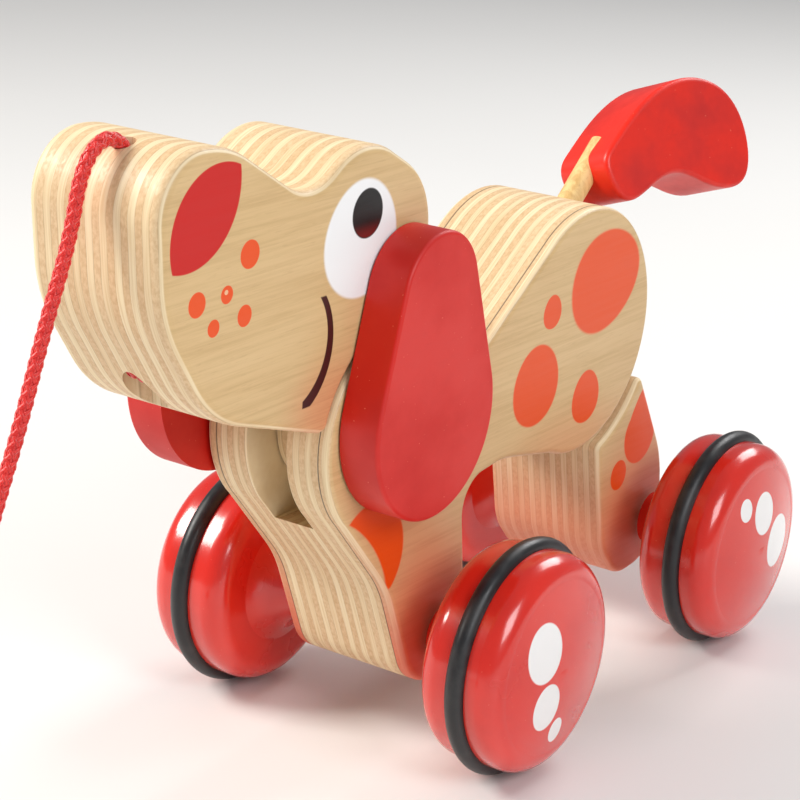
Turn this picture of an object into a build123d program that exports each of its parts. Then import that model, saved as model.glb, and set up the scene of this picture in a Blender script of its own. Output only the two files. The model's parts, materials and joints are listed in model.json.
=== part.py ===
"""Pull-along toy dog of laminated plywood on four wheels, with a nodding head, swinging ears,
a swinging rear leg, a turning tail, and a pull cord.

Millimetres. +X runs towards the nose, +Y is the toy's left, +Z is up.
The origin is on the floor, under the middle of the toy without its cord. The outlines are drawn
from a point on the floor behind it, and every piece is moved by origin_x as it is kept.
"""
from build123d import *
from math import atan2, cos, degrees, hypot, pi, radians, sin, tan
import os

os.makedirs("parts", exist_ok=True)

# ---- driving dimensions -------------------------------------------------------------------
origin_x = 11.06             # from the drawing's zero to the origin
half_width = 16.2            # body, head and rear leg are this far out on each side
plate_t = 2.8                # printed outer plate of the body
slot_half = 5.2              # half the slot between the cheeks = half the centre block
core_half = 4.7              # half the thickness of the head's and the leg's middle board
edge_round = 1.6             # rounding of outer edges of plates and boards

wheelbase = 95.0
front_axle_x = 26.5
rear_axle_x = front_axle_x - wheelbase
ring_r = 2.2                 # section radius of the rubber ring
rim_r = 25.0
axle_z = rim_r + ring_r
track_half = 38.0            # ring planes are at +/- this y
axle_r = 1.6
axle_bore_r = 1.68
hub_end_y = 18.0

neck = (46.0, 79.5)          # neck pin (x, z)
neck_disc_r = 24.2
head_arc_r = 25.5            # the head's rear arc runs round the neck disc
tongue_r = 14.5
hip = (-32.0, 84.4)          # hip pin (x, z)
haunch_r = 30.0
leg_arc_r = 33.4             # the leg's top arc runs round the haunch
leg_tongue_r = 13.0
pin_r = 3.0                  # wooden pins and dowels
pin_running_r = 3.08
nod_up = 18.0                # degrees the head can lift
hip_swing = 15.0             # degrees the rear leg can swing forward

ear_pivot = (46.0, 112.0)
ear_gap = 0.5
ear_t = 9.6
far_ear_forward = 38.0       # degrees that the right ear hangs forward

tail_t = 18.0
tail_turned = -26.0          # degrees that the tail is turned on its dowel, towards the left
tail_dowel_lean = 50.0       # degrees from upright, towards the rear
tail_dowel_foot = (-49.0, 112.4)

cord_r = 1.5
cord_hole_r = 2.4
knot_r = 3.6
coil_mean_r = 17.05
coil_pitch = 3.1             # from one turn to the next
coil_entry = (211.0, 0, 1.5)                             # the cord runs into its coil here
coil_centre = (coil_entry[0], -coil_mean_r - coil_pitch / 2)


# ---- helpers --------------------------------------------------------------------------------
def rounded(points):
    """Face through (x, z, corner radius) points."""
    face = make_face(Polyline(*[(x, z) for x, z, _ in points], close=True))
    for x, z, r in points:
        if r > 0:
            corner = face.vertices().sort_by_distance((x, z, 0))[0]
            face = fillet(corner, r)
    return face


def disc(centre, r):
    return Pos(centre[0], centre[1]) * Circle(r)


def on(centre, r, angle):
    """Point at an angle, from +X towards +Z, on a circle round centre."""
    return centre[0] + r * cos(radians(angle)), centre[1] + r * sin(radians(angle))


def soften_ends(face, centre, arc_r, r):
    """Round the two corners where an arc about a pin was cut out of a face."""
    ends = face.vertices().filter_by(lambda v: abs(hypot(v.X - centre[0], v.Y - centre[1]) - arc_r) < 0.01)
    return fillet(ends, r)


def board(face, y_low, y_high):
    """Plate of a side-view face between two y planes."""
    return extrude(Plane.XZ.offset(-y_high) * face, y_high - y_low)


def cross_pin(centre, r, y_low, y_high):
    return board(disc(centre, r), y_low, y_high)


def ease(part, side, r=edge_round):
    """Round the rim of the outer face on one side, +1 for left and -1 for right."""
    face = part.faces().filter_by(Axis.Y).sort_by(Axis.Y)[-1 if side > 0 else 0]
    return fillet(face.outer_wire().edges(), r)


def span(side, inner, outer):
    """The y limits of a piece that runs from inner to outer on one side."""
    return (inner, outer) if side > 0 else (-outer, -inner)


pieces = {}


def keep(name, shape):
    solids = (Pos(-origin_x, 0, 0) * shape).solids()
    pieces[name] = solids[0] if len(solids) == 1 else Compound(solids)


# ---- body -------------------------------------------------------------------------------------
def body_outline():
    axle = (front_axle_x, axle_z)
    foot_r = 12.2
    back = on(hip, haunch_r, 58)
    throat = on(neck, neck_disc_r, -37)
    toe = on(axle, foot_r, -24)
    heel = on(axle, foot_r, 172)
    web = rounded([
        (hip[0], hip[1], 0), (back[0], back[1], 0), (24.5, 82.5, 0), (neck[0], neck[1], 0),
        (throat[0], throat[1], 0), (46.2, 43.0, 32), (toe[0], toe[1], 0), (axle[0], axle[1], 0),
        (heel[0], heel[1], 0), (18.3, 59.5, 8), (1.5, 61.2, 25), (hip[0], hip[1] - haunch_r, 0)])
    outline = web + disc(hip, haunch_r) + disc(neck, neck_disc_r) + disc(axle, foot_r)
    saddle = outline.vertices().sort_by_distance((23.5, 83.5, 0))[0]
    return fillet(saddle, 9)


def hip_sector(low, high, reach):
    """Wedge from the hip pin between two angles."""
    a = on(hip, reach, low)
    b = on(hip, reach, (low + high) / 2)
    c = on(hip, reach, high)
    return make_face(Polyline((hip[0], hip[1]), a, b, c, close=True))


leg_tongue_low = 218.0       # the leg's tongue lies between these angles round the hip pin
leg_tongue_high = 254.0


def centre_outline(outline):
    """Body outline cut back for the head's tongue in front and the leg's tongue behind."""
    wall_x = neck[0] - tongue_r - 0.5
    floor_z = neck[1] - 21
    slot = rounded([(wall_x, floor_z, 5), (wall_x + 60, floor_z, 0),
                    (wall_x + 60, floor_z + 60, 0), (wall_x, floor_z + 60, 0)])
    play = 1.5
    leg_room = hip_sector(leg_tongue_low - play, leg_tongue_high + hip_swing + play, 45)
    return outline - slot - disc(hip, leg_tongue_r + 0.6) - leg_room


def tail_dowel_axis(distance):
    """Point on the tail dowel's axis, at a distance above its foot point."""
    lean = radians(tail_dowel_lean)
    return (tail_dowel_foot[0] - distance * sin(lean), 0, tail_dowel_foot[1] + distance * cos(lean))


def rod(start, end, r):
    """Round rod between two points."""
    axis = Vector(*end) - Vector(*start)
    return extrude(Plane(origin=start, z_dir=axis) * Circle(r), axis.length)


def axle_bore(x, r, y_half):
    return cross_pin((x, axle_z), r, -y_half, y_half)


def drill_mouth(x, side):
    """Countersunk mouth of an axle bore in a side face."""
    depth = 1.2
    plane = Plane(origin=(x, side * (half_width - depth), axle_z), z_dir=(0, side, 0))
    cone = Solid.make_cone(axle_bore_r, 2.7, depth, plane)
    return cone


def make_body():
    outline = body_outline()
    cheek_out = half_width - plate_t
    bore = axle_bore(front_axle_x, axle_bore_r, half_width + 1)
    pins = cross_pin(neck, pin_r, -cheek_out, cheek_out) + cross_pin(hip, pin_r, -cheek_out, cheek_out)
    for name, side in (("left", 1), ("right", -1)):
        plate = ease(board(outline, *span(side, cheek_out, half_width)), side)
        keep(name + "_side_plate", plate - bore - drill_mouth(front_axle_x, side))
        cheek = board(outline, *span(side, slot_half, cheek_out))
        keep(name + "_cheek", cheek - bore - pins)
    tail_hole = rod(tail_dowel_axis(-16.3), tail_dowel_axis(5), pin_running_r)
    block = board(centre_outline(outline), -slot_half, slot_half)
    keep("centre_block", block - bore - tail_hole)
    keep("neck_pin", cross_pin(neck, pin_r, -cheek_out, cheek_out))
    keep("hip_pin", cross_pin(hip, pin_r, -cheek_out, cheek_out))


# ---- head -------------------------------------------------------------------------------------
def head_outline():
    face = rounded([
        (70.0, 84.9, 0), (108.2, 96.9, 27), (123.2, 119.5, 31), (125.6, 151.6, 12.5),
        (104.3, 150.8, 25), (78.5, 135.4, 13), (60.5, 146.6, 18), (37.2, 133.5, 17), (35.0, 97.0, 0)])
    face -= disc(neck, head_arc_r)
    return soften_ends(face, neck, head_arc_r, 2.4)


def tongue_outline():
    """Neck tongue with a heel that stops the head at rest and a rear edge that stops it lifted."""
    x, z = neck
    lean = radians(nod_up)
    root = on(neck, tongue_r, 180 - nod_up)
    top = (root[0] + 26 * sin(lean), root[1] + 26 * cos(lean))
    neck_piece = make_face(Polyline(
        (x, z), root, top, (x + tongue_r, top[1]), (x + tongue_r, z), close=True))
    heel = make_face(Polyline(
        (x, z), (x - tongue_r, z), (x - tongue_r, z - 9), (x, z - 9), close=True))
    return disc(neck, tongue_r) + neck_piece + heel


hole_foot = (108.9, 0, 100.5)
hole_top = (115.6, 0, 148.0)


def along_hole(t):
    """Point on the cord hole's axis: 0 at the chin, 1 at the top of the snout."""
    return tuple(a + t * (b - a) for a, b in zip(hole_foot, hole_top))


def make_head():
    outline = head_outline()
    ear_hole = cross_pin(ear_pivot, pin_r, -half_width - 1, half_width + 1)
    for name, side in (("left", 1), ("right", -1)):
        side_board = ease(board(outline, *span(side, core_half, half_width)), side, 2.0)
        keep("head_" + name + "_board", side_board - ear_hole)
    core = board(outline + tongue_outline(), -core_half, core_half)
    cord_hole = rod(along_hole(-0.2), along_hole(1.2), cord_hole_r)
    recess = rod(along_hole(-0.2), along_hole(0.14), knot_r + 0.6)
    pin_hole = cross_pin(neck, pin_running_r, -core_half - 1, core_half + 1)
    keep("head_core", core - cord_hole - recess - pin_hole - ear_hole)


# ---- ears -------------------------------------------------------------------------------------
ear_in = half_width + ear_gap
ear_out = ear_in + ear_t
brad_y = ear_in + 3.6
brad_r = 0.75
groove_r = 2.1
groove_half = 1.2
brad_tip = 2.6               # the brad's tip stays this far from the dowel's axis, in its groove
ear_bore_depth = 7.0


def ear_outline():
    """Egg that hangs from its narrow top."""
    top = disc((46.2, 111.8), 13.6)
    bottom = disc((45.7, 84.0), 21.7)
    flank = make_face(Polyline(
        on((46.2, 111.8), 13.6, 17), on((46.2, 111.8), 13.6, 163),
        on((45.7, 84.0), 21.7, 163), on((45.7, 84.0), 21.7, 17), close=True))
    return top + bottom + flank


def make_ears():
    x, z = ear_pivot
    grooved = cross_pin(ear_pivot, pin_r, -ear_in - ear_bore_depth + 0.4, ear_in + ear_bore_depth - 0.4)
    for side in (1, -1):
        ring = cross_pin(ear_pivot, pin_r + 1, side * brad_y - groove_half, side * brad_y + groove_half)
        grooved -= ring - cross_pin(ear_pivot, groove_r, side * brad_y - 3, side * brad_y + 3)
    keep("ear_dowel", grooved)
    for name, side, turn in (("left", 1, 0.0), ("right", -1, far_ear_forward)):
        ear = board(ear_outline(), *span(side, ear_in, ear_out))
        ear = ease(ear, side, 0.9)
        ear -= cross_pin(ear_pivot, pin_running_r, *span(side, ear_in - 1, ear_in + ear_bore_depth))
        brad_top = z + 13.0
        brad = rod((x, side * brad_y, z + brad_tip), (x, side * brad_y, brad_top), brad_r)
        ear -= brad
        pivot = Axis((x, 0, z), (0, -1, 0))
        keep(name + "_ear", ear.rotate(pivot, turn))
        keep(name + "_ear_brad", brad.rotate(pivot, turn))


# ---- tail -------------------------------------------------------------------------------------
def make_tail():
    bean = Spline((-53.8, 114.5), (-59.6, 107.9), (-70.9, 111.5), (-77.1, 111.9), (-88.5, 106.7),
                  (-98.0, 106.6), (-102.2, 117.4), (-96.6, 130.7), (-86.0, 134.7), (-68.0, 129.9),
                  (-56.8, 122.2), periodic=True)
    tail = board(make_face(bean), -tail_t / 2, tail_t / 2)
    tail = ease(ease(tail, 1, 1.3), -1, 1.3)
    dowel = rod(tail_dowel_axis(-15.8), tail_dowel_axis(16), pin_r)
    lean = radians(tail_dowel_lean)
    axis = Axis(tail_dowel_axis(0), (-sin(lean), 0, cos(lean)))
    keep("tail", (tail - dowel).rotate(axis, tail_turned))
    keep("tail_dowel", dowel)


# ---- rear leg ---------------------------------------------------------------------------------
def leg_outline():
    face = rounded([
        (-59.0, 71.0, 0), (-40.6, 60.0, 0), (-47.6, 23.5, 16),
        (-56.5, 13.6, 11), (-75.0, 15.0, 12), (-77.8, 39.0, 30)])
    face -= disc(hip, leg_arc_r)
    return soften_ends(face, hip, leg_arc_r, 2.0)


def make_rear_leg():
    outline = leg_outline()
    bore = axle_bore(rear_axle_x, axle_bore_r, half_width + 1)
    for name, side in (("left", 1), ("right", -1)):
        side_board = ease(board(outline, *span(side, core_half, half_width)), side)
        keep("leg_" + name + "_board", side_board - bore - drill_mouth(rear_axle_x, side))
    tongue = disc(hip, leg_tongue_r) + hip_sector(leg_tongue_low, leg_tongue_high, leg_arc_r + 3)
    core = board(outline + tongue, -core_half, core_half)
    pin_hole = cross_pin(hip, pin_running_r, -core_half - 1, core_half + 1)
    keep("leg_core", core - bore - pin_hole)


# ---- wheels -----------------------------------------------------------------------------------
def wheel_profile():
    """Half section in (distance out from the ring plane, radius), turned round the axle."""
    shoulder = 5.0
    inner_face = -10.8
    outer_face = 9.8
    hub_end = hub_end_y - track_half
    hub_r = 6.6
    dome = 2.2
    dome_r = ((rim_r - shoulder) ** 2 + dome ** 2) / (2 * dome)
    dome_angle = degrees(atan2(rim_r - shoulder, dome_r - dome))
    lines = [
        Line((hub_end, 0), (hub_end, hub_r)),
        ThreePointArc((hub_end, hub_r), (-14.6, 9.0), (inner_face, 14.5)),
        Line((inner_face, 14.5), (inner_face, rim_r - shoulder)),
        RadiusArc((inner_face, rim_r - shoulder), (inner_face + shoulder, rim_r), shoulder),
        Line((inner_face + shoulder, rim_r), (outer_face - shoulder, rim_r)),
        RadiusArc((outer_face - shoulder, rim_r), (outer_face, rim_r - shoulder), shoulder),
        CenterArc((outer_face + dome - dome_r, 0), dome_r, 0, dome_angle),
        Line((outer_face + dome, 0), (hub_end, 0)),
    ]
    return make_face(Wire(lines))


def make_wheels():
    axle_half = 32.0
    profile = wheel_profile()
    turned = revolve(profile, Axis.X, 360)
    ring = revolve(Pos(0, rim_r) * Circle(ring_r), Axis.X, 360)
    groove = revolve(Pos(0, rim_r) * Circle(ring_r + 0.05), Axis.X, 360)
    hole = rod((hub_end_y - track_half - 1, 0, 0), (axle_half - track_half, 0, 0), axle_r)
    wheel = turned - groove - hole
    for place, x in (("front", front_axle_x), ("rear", rear_axle_x)):
        keep(place + "_axle", cross_pin((x, axle_z), axle_r, -axle_half, axle_half))
        for name, side in (("left", 1), ("right", -1)):
            spot = Pos(x, side * track_half, axle_z) * Rot(0, 0, 90 * side)
            keep(place + "_" + name + "_wheel", spot * wheel)
            keep(place + "_" + name + "_ring", spot * ring)


# ---- pull cord --------------------------------------------------------------------------------
cord_route = [
    along_hole(0.143), (115.9, 0, 150.4), (122.0, 0, 152.4), (127.6, 0, 147.0), (130.4, 0, 134.5),
    (137.2, 0, 119.0), (143.6, 0, 102.0), (151.4, 0, 84.5), (158.6, 0, 66.5), (166.6, 0, 48.5),
    (174.0, 0, 32.5), (181.8, 0, 19.0), (190.5, 0, 8.4), (200.5, 0, 2.4), coil_entry,
]


def turn_at(a, b, c):
    return (Vector(*b) - Vector(*a)).get_angle(Vector(*c) - Vector(*b))


def corner_radii(route):
    """The largest arcs that the runs leave room for, one for each corner."""
    radii = []
    for a, b, c in zip(route, route[1:], route[2:]):
        run = min((Vector(*b) - Vector(*a)).length, (Vector(*c) - Vector(*b)).length)
        radii.append(0.45 * run / tan(radians(turn_at(a, b, c) / 2)))
    return radii


def make_cord():
    radii = corner_radii(cord_route)
    print("cord radii", [round(r, 1) for r in radii])
    path = FilletPolyline(*cord_route, radius=radii)
    section = Plane(origin=path @ 0, z_dir=path % 0) * Circle(cord_r)
    tube = sweep(section, path=path)
    print("cord tube length", round(path.length, 1), "volume", round(tube.volume, 1),
          "section x length", round(pi * cord_r ** 2 * path.length, 1))
    keep("pull_cord", tube)
    knot = Pos(*along_hole(0.14)) * Sphere(knot_r)
    keep("cord_knot", knot - rod(along_hole(0.14), along_hole(0.4), cord_r + 5))
    coil = Pos(coil_mean_r, coil_pitch) * RectangleRounded(2 * coil_pitch, 2 * coil_pitch, 1.4)
    ring = revolve(Plane.XZ * coil, Axis.Z, 360)
    keep("cord_coil", Pos(coil_centre[0], coil_centre[1], 0) * ring)
    end = Pos(coil_centre[0], coil_centre[1] - coil_mean_r - coil_pitch - knot_r, knot_r) * Sphere(knot_r)
    keep("cord_end_knot", end)


make_body()
make_head()
make_ears()
make_tail()
make_rear_leg()
make_wheels()
make_cord()
for name, shape in pieces.items():
    export_step(shape, "parts/" + name + ".step")
toy = Compound([s for n, s in pieces.items() if "cord" not in n])
box = toy.bounding_box()
print("toy", [round(v, 2) for v in (box.min.X, box.max.X, box.min.Y, box.max.Y, box.min.Z, box.max.Z)])
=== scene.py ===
"""Looks of the pull-along toy dog: plywood, lacquer, rubber, steel and a braided cord."""
import bpy
import json
import math
from mathutils import Matrix, Vector, noise


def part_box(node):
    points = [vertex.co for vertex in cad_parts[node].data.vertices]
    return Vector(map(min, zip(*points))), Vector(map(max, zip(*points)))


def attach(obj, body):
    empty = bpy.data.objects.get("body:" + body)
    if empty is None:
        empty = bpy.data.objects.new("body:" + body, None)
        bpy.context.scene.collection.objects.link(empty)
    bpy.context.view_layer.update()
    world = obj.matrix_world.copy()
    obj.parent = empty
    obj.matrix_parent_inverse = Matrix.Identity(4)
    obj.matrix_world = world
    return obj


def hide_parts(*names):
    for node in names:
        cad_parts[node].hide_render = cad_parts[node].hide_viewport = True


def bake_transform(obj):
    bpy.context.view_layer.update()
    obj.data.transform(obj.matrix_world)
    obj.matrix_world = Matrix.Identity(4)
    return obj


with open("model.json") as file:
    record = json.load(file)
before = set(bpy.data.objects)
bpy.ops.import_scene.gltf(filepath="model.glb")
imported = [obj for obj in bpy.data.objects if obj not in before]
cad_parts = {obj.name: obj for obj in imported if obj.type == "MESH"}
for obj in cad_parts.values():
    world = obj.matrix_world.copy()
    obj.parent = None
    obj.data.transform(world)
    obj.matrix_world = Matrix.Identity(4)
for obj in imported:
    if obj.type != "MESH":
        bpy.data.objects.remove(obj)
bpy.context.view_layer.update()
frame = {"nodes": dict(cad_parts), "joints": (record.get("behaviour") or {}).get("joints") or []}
nodes = frame["nodes"]
joint = {j["name"]: j for j in frame["joints"]}
MM = 0.001
ORIGIN_X = 11.06 * MM         # the outlines are measured from a point this far behind the origin


# ---- camera ---------------------------------------------------------------------------------
def add_camera():
    """The toy seen from in front, to its left and a little above, with a slight tilt."""
    azimuth, elevation, roll = math.radians(34.19), math.radians(18.46), math.radians(2.75)
    distance = 0.59663
    target = Vector((-0.02378 - ORIGIN_X, -0.03079, 0.05864))
    back = Vector((math.cos(elevation) * math.cos(azimuth),
                   math.cos(elevation) * math.sin(azimuth), math.sin(elevation)))
    right = Vector((-math.sin(azimuth), math.cos(azimuth), 0))
    up = back.cross(right)
    tilted_right = math.cos(roll) * right + math.sin(roll) * up
    tilted_up = -math.sin(roll) * right + math.cos(roll) * up
    data = bpy.data.cameras.new("camera")
    data.lens = 108
    data.sensor_width = 36
    data.clip_start = 0.01
    camera = bpy.data.objects.new("camera", data)
    turn = Matrix((tilted_right, tilted_up, back)).transposed().to_4x4()
    camera.matrix_world = Matrix.Translation(target + distance * back) @ turn
    bpy.context.scene.collection.objects.link(camera)
    bpy.context.scene.camera = camera


# ---- pull cord ------------------------------------------------------------------------------
cord_r = 1.5 * MM
coil_entry = Vector((0.211, 0, 0.0015))
coil_mean_r = 17.05 * MM
coil_pitch = 3.1 * MM
coil_centre = coil_entry - Vector((0, coil_mean_r + coil_pitch / 2, 0))
hole_foot = Vector((0.1089, 0, 0.1005))
hole_top = Vector((0.1156, 0, 0.148))
knot_share = 0.14            # the knot sits this far up the hole
cord_points = [
    hole_foot.lerp(hole_top, 0.143), hole_foot.lerp(hole_top, 0.96), (0.1159, 0, 0.1504), (0.122, 0, 0.1524),
    (0.1276, 0, 0.147), (0.1304, 0, 0.1345), (0.1372, 0, 0.119), (0.1436, 0, 0.102), (0.1514, 0, 0.0845),
    (0.1586, 0, 0.0665), (0.1666, 0, 0.0485), (0.174, 0, 0.0325), (0.1818, 0, 0.019),
    (0.1905, 0, 0.0084), (0.2005, 0, 0.0024), coil_entry,
]


def smooth(t, start, end):
    """0 before start, 1 after end, with soft ends."""
    share = min(max((t - start) / (end - start), 0), 1)
    return share * share * (3 - 2 * share)


def coil_points():
    """Turns of the put-away cord: out, in, up, out again, then off to the end knot."""
    steps = 16
    shrink = math.cos(math.pi / steps)      # the spline runs inside its control points by this
    last = 1300                             # degrees wound from the entry
    points = []
    count = int(last / 360 * steps)
    for i in range(1, count + 1):
        t = last * i / count
        inward = smooth(t, 300, 360) - smooth(t, 960, 1030)
        r = coil_mean_r + coil_pitch * (0.5 - inward) + 4.6 * MM * smooth(t, 1190, 1300)
        z = cord_r + coil_pitch * smooth(t, 630, 705) - 1.0 * MM * smooth(t, 1190, 1300)
        a = math.radians(90 - t)
        points.append(coil_centre + Vector((r / shrink * math.cos(a), r / shrink * math.sin(a), 0))
                      + Vector((0, 0, z - coil_centre.z)))
    return points


def in_frame(points):
    """Points of the drawing as points of the scene."""
    return [Vector(p) - Vector((ORIGIN_X, 0, 0)) for p in points]


def spline_line(points):
    """The smooth line of a NURBS spline through the air along these control points."""
    curve = bpy.data.curves.new("cord_line", "CURVE")
    curve.dimensions = "3D"
    curve.resolution_u = 12
    spline = curve.splines.new("NURBS")
    spline.points.add(len(points) - 1)
    for point, where in zip(spline.points, points):
        point.co = (*where, 1)
    spline.order_u = 3
    spline.use_endpoint_u = True
    carrier = bpy.data.objects.new("cord_line", curve)
    bpy.context.scene.collection.objects.link(carrier)
    bpy.context.view_layer.update()
    mesh = bpy.data.meshes.new_from_object(carrier)
    line = [v.co.copy() for v in mesh.vertices]
    bpy.data.objects.remove(carrier)
    bpy.data.meshes.remove(mesh)
    return line


def even(line, step):
    """The same line with its points a step apart."""
    out = [line[0]]
    left = step
    for a, b in zip(line, line[1:]):
        run = (b - a).length
        done = 0
        while run - done >= left:
            done += left
            out.append(a.lerp(b, done / run))
            left = step
        left -= run - done
    return out


def frames_along(line):
    """(point, side, other side) at each point, turning as little as possible."""
    side = Vector((0, 1, 0))
    out = []
    for i, point in enumerate(line):
        ahead = line[min(i + 1, len(line) - 1)] - line[max(i - 1, 0)]
        ahead.normalize()
        side = (side - side.dot(ahead) * ahead).normalized()
        out.append((point, side, ahead.cross(side)))
    return out


def add_mesh(name, verts, faces, material, smooth_faces=True):
    mesh = bpy.data.meshes.new(name)
    mesh.from_pydata(verts, [], faces)
    mesh.validate()
    piece = bpy.data.objects.new(name, mesh)
    bpy.context.scene.collection.objects.link(piece)
    mesh.materials.append(material)
    for face in mesh.polygons:
        face.use_smooth = smooth_faces
    return piece


def add_tube(verts, faces, rings, closed_ends=True):
    """Skin over rings of points."""
    base = len(verts)
    n = len(rings[0])
    for ring in rings:
        verts.extend(ring)
    for i in range(len(rings) - 1):
        for k in range(n):
            a = base + i * n + k
            b = base + i * n + (k + 1) % n
            faces.append((a, b, b + n, a + n))
    if closed_ends:
        faces.append(tuple(base + k for k in reversed(range(n))))
        faces.append(tuple(base + (len(rings) - 1) * n + k for k in range(n)))


def braid(name, line, material, radius=cord_r, step=0.28 * MM):
    """Hollow braid of strands that pass over and under each other, round a core."""
    per_way = 4
    lay = 9.6 * MM                          # one strand's turn round the cord
    strand_half_width = 0.36 * radius
    strand_half_height = 0.17 * radius
    weave = 0.07 * radius
    mid = radius - weave - strand_half_height
    line = even(line, step)
    spots = frames_along(line)
    verts, faces = [], []
    for way in (1, -1):
        for k in range(per_way):
            rings = []
            for i, (point, side, other) in enumerate(spots):
                s = i * step
                angle = way * 2 * math.pi * s / lay + 2 * math.pi * k / per_way
                lift = way * weave * math.cos(2 * math.pi * per_way * s / lay)
                out = math.cos(angle) * side + math.sin(angle) * other
                across = -math.sin(angle) * side + math.cos(angle) * other
                centre = point + (mid + lift) * out
                rings.append([centre + strand_half_width * math.cos(q) * across
                              + strand_half_height * math.sin(q) * out
                              for q in (j * math.pi / 3 for j in range(6))])
            add_tube(verts, faces, rings)
    core = [[point + 0.82 * radius * (math.cos(q) * side + math.sin(q) * other)
             for q in (j * math.pi / 4 for j in range(8))] for point, side, other in spots[::3] + spots[-1:]]
    add_tube(verts, faces, core)
    return add_mesh(name, verts, faces, material)


def knot_line(centre, size, axis, tail=None):
    """Three-lobed overhand knot round a centre, its flat side across the axis."""
    lift = axis.normalized()
    side = lift.orthogonal().normalized()
    other = lift.cross(side)
    points = []
    for i in range(49):
        t = 2 * math.pi * i / 48 + 0.3
        x = (math.sin(t) + 2 * math.sin(2 * t)) / 3
        y = (math.cos(t) - 2 * math.cos(2 * t)) / 3
        z = -0.55 * math.sin(3 * t)
        points.append(centre + size * (x * side + y * other + z * lift))
    if tail is not None:
        points.append(points[-1].lerp(tail, 0.5))
        points.append(tail)
    return points


def add_cord(material):
    line = spline_line(in_frame(cord_points + coil_points()))
    cord = braid("braided_cord", line, material)
    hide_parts("pull_cord", "cord_coil")
    snout_knot = braid("snout_knot", in_frame(knot_line(hole_foot.lerp(hole_top, 0.10), 2.3 * MM, hole_top - hole_foot)),
                       material, 1.2 * MM)
    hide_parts("cord_knot")
    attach(snout_knot, "head")
    low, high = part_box("cord_end_knot")
    middle = (Vector(low) + Vector(high)) / 2
    outward = middle - in_frame([coil_centre])[0]
    outward.z = 0
    tail = middle + 7.0 * MM * outward.normalized() - Vector((0, 0, 2.1 * MM))
    end_knot = braid("end_knot", knot_line(middle, 2.4 * MM, Vector((0, 0, 1)), tail), material, 1.2 * MM)
    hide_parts("cord_end_knot")
    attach(end_knot, "body")
    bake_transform(cord)


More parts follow.
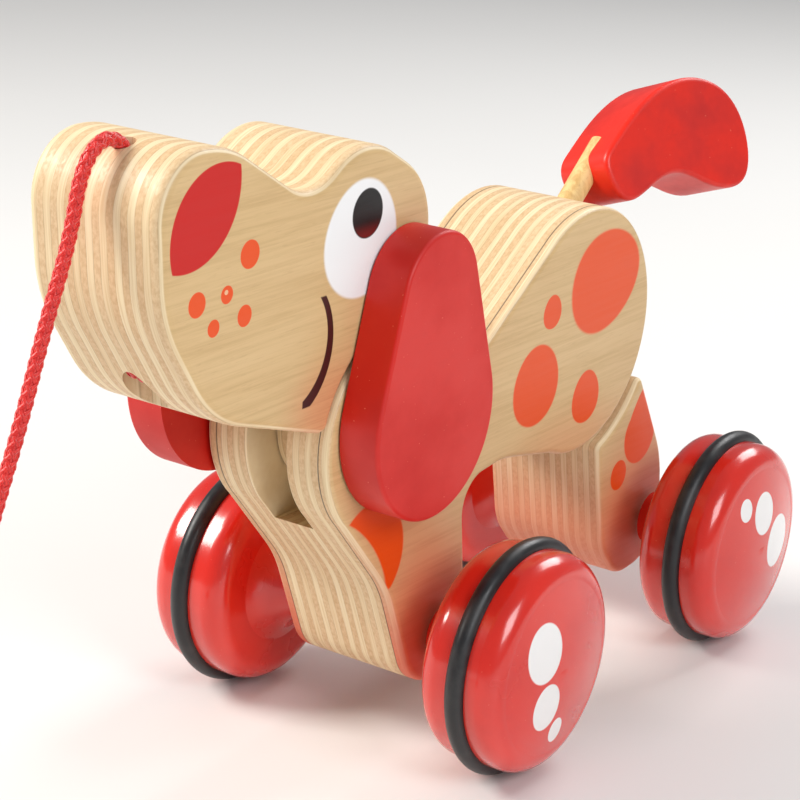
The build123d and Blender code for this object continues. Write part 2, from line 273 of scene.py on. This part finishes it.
# ---- materials ------------------------------------------------------------------------------
class Nodes:
    """A material's node tree, written as short calls."""

    def __init__(self, name):
        self.material = bpy.data.materials.new(name)
        self.material.use_nodes = True
        self.tree = self.material.node_tree
        self.shader = self.tree.nodes["Principled BSDF"]
        place = self.tree.nodes.new("ShaderNodeTexCoord")
        split = self.tree.nodes.new("ShaderNodeSeparateXYZ")
        self.place = place.outputs["Object"]
        self.link(self.place, split.inputs[0])
        self.x, self.y, self.z = split.outputs
        self.x = self.math("ADD", self.x, ORIGIN_X)

    def link(self, a, b):
        self.tree.links.new(a, b)

    def feed(self, socket, value):
        if hasattr(value, "links"):
            self.link(value, socket)
        else:
            socket.default_value = value

    def math(self, operation, a, b=0.0, c=0.0, clamp=False):
        node = self.tree.nodes.new("ShaderNodeMath")
        node.operation = operation
        node.use_clamp = clamp
        for socket, value in zip(node.inputs, (a, b, c)):
            self.feed(socket, value)
        return node.outputs[0]

    def ramp(self, value, low, high, out_low=0.0, out_high=1.0, smooth_ends=True):
        node = self.tree.nodes.new("ShaderNodeMapRange")
        node.interpolation_type = "SMOOTHSTEP" if smooth_ends else "LINEAR"
        for socket, v in zip(node.inputs, (value, low, high, out_low, out_high)):
            self.feed(socket, v)
        return node.outputs[0]

    def mix(self, share, a, b, blend="MIX"):
        node = self.tree.nodes.new("ShaderNodeMix")
        node.data_type = "RGBA"
        node.blend_type = blend
        colours = [s for s in node.inputs if s.type == "RGBA"]
        self.feed(node.inputs[0], share)
        self.feed(colours[0], a)
        self.feed(colours[1], b)
        return [s for s in node.outputs if s.type == "RGBA"][0]

    def vector(self, x, y, z):
        node = self.tree.nodes.new("ShaderNodeCombineXYZ")
        for socket, value in zip(node.inputs, (x, y, z)):
            self.feed(socket, value)
        return node.outputs[0]

    def scaled(self, sx, sy, sz):
        """Object coordinates in metres times a scale for each axis."""
        return self.vector(self.math("MULTIPLY", self.x, sx), self.math("MULTIPLY", self.y, sy),
                           self.math("MULTIPLY", self.z, sz))

    def noise(self, vector, scale=1.0, detail=3.0, rough=0.55, distort=0.0):
        node = self.tree.nodes.new("ShaderNodeTexNoise")
        self.link(vector, node.inputs["Vector"])
        node.inputs["Scale"].default_value = scale
        node.inputs["Detail"].default_value = detail
        node.inputs["Roughness"].default_value = rough
        node.inputs["Distortion"].default_value = distort
        return node.outputs[0]

    def random(self, value):
        node = self.tree.nodes.new("ShaderNodeTexWhiteNoise")
        node.noise_dimensions = "1D"
        self.feed(node.inputs["W"], value)
        return node.outputs["Value"]

    def bump(self, height, distance, strength=1.0, under=None):
        node = self.tree.nodes.new("ShaderNodeBump")
        node.inputs["Strength"].default_value = strength
        node.inputs["Distance"].default_value = distance
        self.link(height, node.inputs["Height"])
        if under is not None:
            self.link(under, node.inputs["Normal"])
        return node.outputs[0]

    def set(self, **values):
        for name, value in values.items():
            self.feed(self.shader.inputs[name.replace("_", " ")], value)

    def egg(self, centre, half_across, half_long, angle=0.0, taper=0.0, soft=0.03):
        """1 inside an egg in the side view. Angle turns its long axis from +Z towards -X."""
        c, s = math.cos(math.radians(angle)), math.sin(math.radians(angle))
        dx = self.math("SUBTRACT", self.x, centre[0] * MM)
        dz = self.math("SUBTRACT", self.z, centre[1] * MM)
        across = self.math("ADD", self.math("MULTIPLY", dx, c), self.math("MULTIPLY", dz, s))
        along = self.math("SUBTRACT", self.math("MULTIPLY", dz, c), self.math("MULTIPLY", dx, s))
        v = self.math("DIVIDE", along, half_long * MM)
        width = self.math("MULTIPLY_ADD", v, -taper * half_across * MM, half_across * MM)
        u = self.math("DIVIDE", across, width)
        d = self.math("SQRT", self.math("ADD", self.math("POWER", self.math("ABSOLUTE", u), 2.0),
                                        self.math("POWER", self.math("ABSOLUTE", v), 2.0)))
        return self.ramp(d, 1.0 + soft, 1.0 - soft, 0.0, 1.0)

    def both(self, a, b):
        return self.math("MULTIPLY", a, b)

    def either(self, *masks):
        out = masks[0]
        for mask in masks[1:]:
            out = self.math("MAXIMUM", out, mask)
        return out

    def without(self, a, b):
        return self.math("MULTIPLY", a, self.math("SUBTRACT", 1.0, b))


half_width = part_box("left_side_plate")[1][1]
VENEER = (0.66, 0.45, 0.215, 1)
VENEER_DARK = (0.57, 0.375, 0.17, 1)
PLY_LIGHT = (0.86, 0.71, 0.46, 1)
PLY_WARM = (0.60, 0.39, 0.20, 1)
GLUE = (0.28, 0.16, 0.08, 1)
SPOT = (0.78, 0.075, 0.004, 1)
# Painted reflection: the colour of red light thrown from the red wheels and ears onto the pale wood.
REFLECTED_RED = (0.70, 0.10, 0.05, 1)


def plywood(name, ply=1.65 * MM, seams=(), prints=None, red_reflection=None):
    """Lacquered birch plywood: plies in the edges, veneer on the side faces, patches of painted red reflection, then
    the prints.
    """
    n = Nodes(name)
    depth = n.math("ABSOLUTE", n.y)
    wander = n.noise(n.scaled(30, 12, 30), 1.0, 2.0)
    y = n.math("MULTIPLY_ADD", n.math("SUBTRACT", wander, 0.5), 0.55 * MM, n.y)
    count = n.math("DIVIDE", n.math("ADD", y, 0.05), ply)
    index = n.math("FLOOR", count)
    part = n.math("FRACT", count)
    odd = n.math("PINGPONG", index, 1.0)
    tone = n.random(n.math("ADD", index, 17.3))
    streak = n.noise(n.scaled(60, 2600, 60), 1.0, 4.0, 0.6)
    pores = n.noise(n.scaled(900, 1500, 900), 1.0, 3.0, 0.6)
    long_grain = n.mix(n.ramp(streak, 0.35, 0.68), PLY_LIGHT, (0.75, 0.57, 0.33, 1))
    end_grain = n.mix(n.ramp(pores, 0.30, 0.75, 0.0, 0.75), (0.76, 0.56, 0.33, 1), PLY_WARM)
    edge = n.mix(odd, long_grain, end_grain)
    edge = n.mix(n.ramp(tone, 0.0, 1.0, 0.0, 0.22), edge, (0.74, 0.52, 0.32, 1), "MULTIPLY")
    near_glue = n.math("MINIMUM", part, n.math("SUBTRACT", 1.0, part))
    glue = n.ramp(near_glue, 0.02, 0.09, 0.34, 0.0)
    patches = n.noise(n.scaled(70, 40, 70), 1.0, 2.0)
    glue = n.math("MULTIPLY", glue, n.ramp(patches, 0.35, 0.6, 0.25, 1.0))
    edge = n.mix(glue, edge, GLUE)
    for seam in seams:
        gap = n.math("ABSOLUTE", n.math("SUBTRACT", depth, seam))
        edge = n.mix(n.ramp(gap, 0.08 * MM, 0.22 * MM, 0.85, 0.0), edge, (0.10, 0.055, 0.03, 1))
    grain = n.noise(n.scaled(40, 400, 1300), 1.0, 5.0, 0.62, 0.3)
    broad = n.noise(n.scaled(9, 60, 70), 1.0, 3.0, 0.5)
    flecks = n.noise(n.scaled(220, 400, 2600), 1.0, 2.0, 0.5)
    face = n.mix(n.ramp(grain, 0.35, 0.72), VENEER, VENEER_DARK)
    face = n.mix(n.ramp(broad, 0.4, 0.7, 0.0, 0.35), face, (0.74, 0.53, 0.28, 1))
    face = n.mix(n.ramp(flecks, 0.62, 0.72, 0.0, 0.22), face, (0.45, 0.27, 0.12, 1))
    on_face = n.ramp(depth, half_width - 0.42 * MM, half_width - 0.22 * MM)
    colour = n.mix(on_face, edge, face)
    # Painted red reflection: soft red patches on the wood near the red wheels and ears, as if lit by light bounced off
    # them.
    if red_reflection:
        for centre, across, along, strength in red_reflection:
            mask = n.egg(centre, across, along, soft=0.75)
            colour = n.mix(n.math("MULTIPLY", mask, strength), colour, REFLECTED_RED)
    if prints:
        for colour_of_print, make in prints:
            mask = n.both(make(n), on_face)
            colour = n.mix(mask, colour, colour_of_print)
    relief = n.mix(on_face, n.math("ADD", n.math("MULTIPLY", streak, 0.7), n.math("MULTIPLY", glue, -1.0)),
                   n.math("MULTIPLY", grain, 0.25))
    n.set(Base_Color=colour, Normal=n.bump(relief, 0.12 * MM, 0.5),
          Roughness=n.mix(on_face, n.ramp(pores, 0.3, 0.7, 0.42, 0.6), n.ramp(grain, 0.3, 0.7, 0.34, 0.44)))
    n.set(Coat_Weight=0.06, Coat_Roughness=0.3, Specular_IOR_Level=0.35)
    return n.material


def lens(centre, half_chord, bulges, angle):
    """Leaf shape between two arcs; angle is that of the line between its tips."""
    def make(n):
        mask = None
        normal = (-math.sin(math.radians(angle)), math.cos(math.radians(angle)))
        for bulge, way in zip(bulges, (1, -1)):
            r = (half_chord ** 2 + bulge ** 2) / (2 * bulge)
            c = [centre[i] - way * (r - bulge) * normal[i] for i in (0, 1)]
            part = n.egg(c, r, r, soft=0.01)
            mask = part if mask is None else n.both(mask, part)
        return mask
    return make


def dots(*eggs):
    """Union of (centre, half across, half long, angle, taper) eggs."""
    def make(n):
        return n.either(*[n.egg(c, a, b, angle, taper, 0.035) for c, a, b, angle, taper in eggs])
    return make


def smile(n):
    """Arc of a broad pen line that thins towards the eye."""
    centre, r = (86.1, 106.7), 14.8
    dx = n.math("SUBTRACT", n.x, centre[0] * MM)
    dz = n.math("SUBTRACT", n.z, centre[1] * MM)
    reach = n.math("SQRT", n.math("ADD", n.math("MULTIPLY", dx, dx), n.math("MULTIPLY", dz, dz)))
    off = n.math("ABSOLUTE", n.math("SUBTRACT", reach, r * MM))
    half = n.ramp(n.z, 95 * MM, 116 * MM, 1.3 * MM, 0.75 * MM, False)
    line = n.ramp(n.math("SUBTRACT", off, half), 0.12 * MM, -0.12 * MM)
    rear = n.ramp(dx, -6.0 * MM, -6.3 * MM)
    lower = n.ramp(n.z, 93.0 * MM, 93.3 * MM)
    upper = n.ramp(n.z, 115.6 * MM, 115.2 * MM)
    return n.both(n.both(line, rear), n.both(lower, upper))


def chest_spot(n):
    return n.without(n.egg((54.2, 52.9), 12.7, 12.7, soft=0.03), n.egg((79.0, 34.0), 33.5, 33.5, soft=0.01))


def head_prints():
    red = (0.56, 0.004, 0.001, 1)
    return [
        (red, lens((111.15, 137.85), 13.1, (8.6, 7.2), -42.4)),
        (SPOT, dots(((98.1, 128.7), 2.9, 2.85, 0, 0), ((113.6, 121.9), 2.5, 2.5, 0, 0),
                    ((104.8, 122.1), 1.8, 1.8, 0, 0), ((99.3, 116.8), 2.15, 2.2, 0, 0),
                    ((108.6, 116.3), 1.75, 1.75, 0, 0))),
        ((0.80, 0.45, 0.25, 1), dots(((105.0, 122.6), 0.55, 0.5, 0, 0))),
        ((0.86, 0.86, 0.85, 1), dots(((62.0, 125.0), 12.3, 12.3, 10, 0.06))),
        ((0.004, 0.003, 0.003, 1), dots(((60.1, 129.9), 5.2, 5.2, 0, 0))),
        ((0.16, 0.012, 0.010, 1), lambda n: n.both(n.egg((60.1, 129.9), 5.0, 5.0), n.ramp(n.z, 128.5 * MM, 125 * MM))),
        ((0.045, 0.006, 0.005, 1), smile),
    ]


def body_prints():
    return [(SPOT, dots(((-39.6, 95.8), 12.4, 15.7, 84, 0.10), ((-15.6, 92.9), 3.9, 4.1, 0, 0.1),
                        ((-10.3, 76.2), 9.8, 9.8, 0, 0.05), ((-33.7, 67.9), 6.2, 6.6, 0, 0.1))),
            (SPOT, chest_spot)]


def leg_prints():
    return [(SPOT, dots(((-62.6, 50.6), 7.6, 7.4, 0, 0.0), ((-62.3, 54.5), 5.6, 8.2, 4, 0.55),
                        ((-53.2, 42.3), 3.8, 3.9, 0, 0)))]


def lacquer(name, colour, deep, rough=0.32, coat=0.35, marks=None, many_glints=True):
    """Sprayed lacquer on wood: brush-fine grain below it, soft mottling, painted pale glints, and prints on top."""
    n = Nodes(name)
    mottle = n.noise(n.scaled(45, 45, 45), 1.0, 4.0, 0.55)
    grain = n.noise(n.scaled(140, 900, 500), 1.0, 4.0, 0.6)
    shade = n.mix(n.ramp(mottle, 0.35, 0.7), colour, deep)
    shade = n.mix(n.ramp(grain, 0.55, 0.8, 0.0, 0.25), shade, deep)
    specks = n.noise(n.scaled(1400, 1400, 1400), 1.0, 1.0)
    # Painted highlight: sparse pale orange glints scattered at random over the lacquer; more of them when the flag is
    # set.
    shade = n.mix(n.ramp(specks, 0.76, 0.80, 0.0, 0.5 if many_glints else 0.2), shade, (0.95, 0.35, 0.22, 1))
    if marks:
        shade = n.mix(marks(n), shade, (0.86, 0.84, 0.82, 1))
    n.set(Base_Color=shade, Roughness=n.ramp(mottle, 0.3, 0.75, rough * 0.8, rough * 1.25),
          Normal=n.bump(n.math("ADD", grain, n.math("MULTIPLY", mottle, 0.8)), 0.05 * MM, 0.35))
    n.set(Coat_Weight=coat, Coat_Roughness=0.12)
    return n.material


def wheel_marks(centre, turn):
    """Three white ovals that shrink round the outer face."""
    def make(n):
        masks = []
        for reach, angle, size in ((9.6, 0, 6.6), (8.9, -93, 5.2), (14.6, -131, 2.8)):
            a = math.radians(angle + turn)
            spot = ((centre[0] + ORIGIN_X) / MM + reach * math.cos(a), centre[2] / MM + reach * math.sin(a))
            masks.append(n.egg(spot, size * 0.93, size * 1.05, 0, 0, 0.03))
        outer = n.ramp(n.math("ABSOLUTE", n.y), 47.2 * MM, 47.6 * MM)
        return n.both(n.either(*masks), outer)
    return make


def rubber():
    n = Nodes("black_rubber")
    dust = n.noise(n.scaled(160, 160, 160), 1.0, 5.0, 0.6)
    fine = n.noise(n.scaled(1500, 1500, 1500), 1.0, 2.0)
    n.set(Base_Color=n.mix(n.ramp(dust, 0.45, 0.75, 0.0, 0.5), (0.012, 0.012, 0.013, 1), (0.05, 0.047, 0.045, 1)),
          Roughness=n.ramp(dust, 0.3, 0.7, 0.30, 0.5), Normal=n.bump(fine, 0.03 * MM, 0.4))
    return n.material


def steel():
    n = Nodes("drawn_steel")
    lines = n.noise(n.scaled(2500, 90, 2500), 1.0, 3.0)
    n.set(Base_Color=n.mix(n.ramp(lines, 0.3, 0.7), (0.52, 0.51, 0.49, 1), (0.70, 0.69, 0.67, 1)),
          Roughness=n.ramp(lines, 0.3, 0.7, 0.22, 0.38))
    n.set(Metallic=1.0)
    return n.material


def dowel_wood():
    n = Nodes("dowel_wood")
    grain = n.noise(n.scaled(500, 500, 60), 1.0, 5.0, 0.6, 0.6)
    pores = n.noise(n.scaled(2200, 2200, 300), 1.0, 2.0)
    shade = n.mix(n.ramp(grain, 0.35, 0.7), (0.86, 0.62, 0.27, 1), (0.66, 0.40, 0.14, 1))
    shade = n.mix(n.ramp(pores, 0.6, 0.75, 0.0, 0.4), shade, (0.42, 0.24, 0.08, 1))
    n.set(Base_Color=shade, Roughness=0.5, Normal=n.bump(pores, 0.06 * MM, 0.4))
    return n.material


def cord_fibre():
    n = Nodes("cord_fibre")
    fibre = n.noise(n.scaled(3500, 3500, 3500), 1.0, 3.0, 0.6)
    patch = n.noise(n.scaled(120, 120, 120), 1.0, 2.0)
    shade = n.mix(n.ramp(fibre, 0.35, 0.7), (0.62, 0.006, 0.004, 1), (0.85, 0.03, 0.02, 1))
    shade = n.mix(n.ramp(patch, 0.4, 0.7, 0.0, 0.3), shade, (0.60, 0.008, 0.006, 1))
    n.set(Base_Color=shade, Roughness=0.38, Normal=n.bump(fibre, 0.08 * MM, 0.6))
    n.set(Sheen_Weight=0.35, Sheen_Roughness=0.4, Specular_IOR_Level=0.6)
    return n.material


def paint(material, *names):
    for name in names:
        piece = nodes[name]
        piece.data.materials.clear()
        piece.data.materials.append(material)


def paint_all():
    cheek_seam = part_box("left_side_plate")[0][1]
    axle = joint["front_axle_spin"]["pos_m"]
    rear_axle = joint["rear_axle_spin"]["pos_m"]
    # Painted red reflection from the wheels and ears on the side plates: (centre, half across, half long, strength).
    body_red_reflection = [((30.0, 22.0), 17, 24, 0.85), ((-26.0, 56.0), 24, 9, 0.22), ((44.0, 60.0), 14, 16, 0.25)]
    paint(plywood("printed_ply_body", 1.4 * MM, (cheek_seam,), body_prints(), body_red_reflection),
          "left_side_plate", "right_side_plate")
    paint(plywood("body_ply", 1.58 * MM, (cheek_seam,)), "left_cheek", "right_cheek", "centre_block")
    # The last argument for the head and for the leg below is painted red reflection too, near the ears and the rear
    # wheel.
    paint(plywood("head_ply", 1.72 * MM, (), head_prints(), [((71.0, 91.0), 11, 9, 0.35)]),
          "head_left_board", "head_right_board", "head_core")
    paint(plywood("leg_ply", 1.62 * MM, (), leg_prints(), [((-63.0, 24.0), 22, 20, 0.75)]),
          "leg_left_board", "leg_right_board", "leg_core")
    red = (0.64, 0.008, 0.001, 1)
    deep = (0.54, 0.005, 0.0008, 1)
    paint(lacquer("ear_lacquer", red, deep, 0.50, 0.05), "left_ear", "right_ear",
          "left_ear_brad", "right_ear_brad")
    paint(lacquer("tail_lacquer", (0.80, 0.016, 0.002, 1), deep, 0.48, 0.08), "tail")
    wheel_red = (0.72, 0.022, 0.010, 1)
    wheel_deep = (0.64, 0.016, 0.008, 1)
    for name, centre, turn in (("front_left_wheel", axle, 41), ("front_right_wheel", axle, 150),
                               ("rear_left_wheel", rear_axle, 186), ("rear_right_wheel", rear_axle, -60)):
        paint(lacquer(name + "_lacquer", wheel_red, wheel_deep, 0.24, 0.6, wheel_marks(centre, turn), False), name)
    paint(rubber(), "front_left_ring", "front_right_ring", "rear_left_ring", "rear_right_ring")
    paint(steel(), "front_axle", "rear_axle")
    paint(dowel_wood(), "tail_dowel", "ear_dowel", "neck_pin", "hip_pin")


# ---- floor and light ------------------------------------------------------------------------
def add_stage():
    n = Nodes("pale_floor")
    cloud = n.noise(n.scaled(3, 3, 3), 1.0, 3.0)
    n.set(Base_Color=n.mix(cloud, (0.78, 0.77, 0.75, 1), (0.82, 0.81, 0.79, 1)), Roughness=0.5)
    size = 6.0
    floor = add_mesh("floor", [(-size, -size, 0), (size, -size, 0), (size, size, 0), (-size, size, 0)],
                     [(0, 1, 2, 3)], n.material, False)
    world = bpy.data.worlds.new("studio")
    world.use_nodes = True
    world.node_tree.nodes["Background"].inputs["Color"].default_value = (0.95, 0.96, 1.0, 1)
    world.node_tree.nodes["Background"].inputs["Strength"].default_value = 0.30
    bpy.context.scene.world = world
    bpy.context.scene.view_settings.view_transform = "Standard"
    middle = Vector((0, 0, 0.07))
    for name, where, size, watts, tint in (
            ("key", (0.55, -0.75, 0.80), 0.45, 15, (1.0, 0.97, 0.92)),
            ("fill", (0.35, 1.05, 0.75), 0.6, 9, (0.95, 0.97, 1.0)),
            ("rim", (-0.85, 0.1, 0.75), 0.5, 6, (1.0, 1.0, 1.0))):
        light = bpy.data.lights.new(name, "AREA")
        light.size = size
        light.energy = watts
        light.color = tint
        lamp = bpy.data.objects.new(name, light)
        lamp.matrix_world = (Matrix.Translation(where)
                             @ (Vector(where) - middle).to_track_quat("Z", "Y").to_matrix().to_4x4())
        bpy.context.scene.collection.objects.link(lamp)


add_camera()
add_cord(cord_fibre())
paint_all()
add_stage()
bpy.context.view_layer.update()
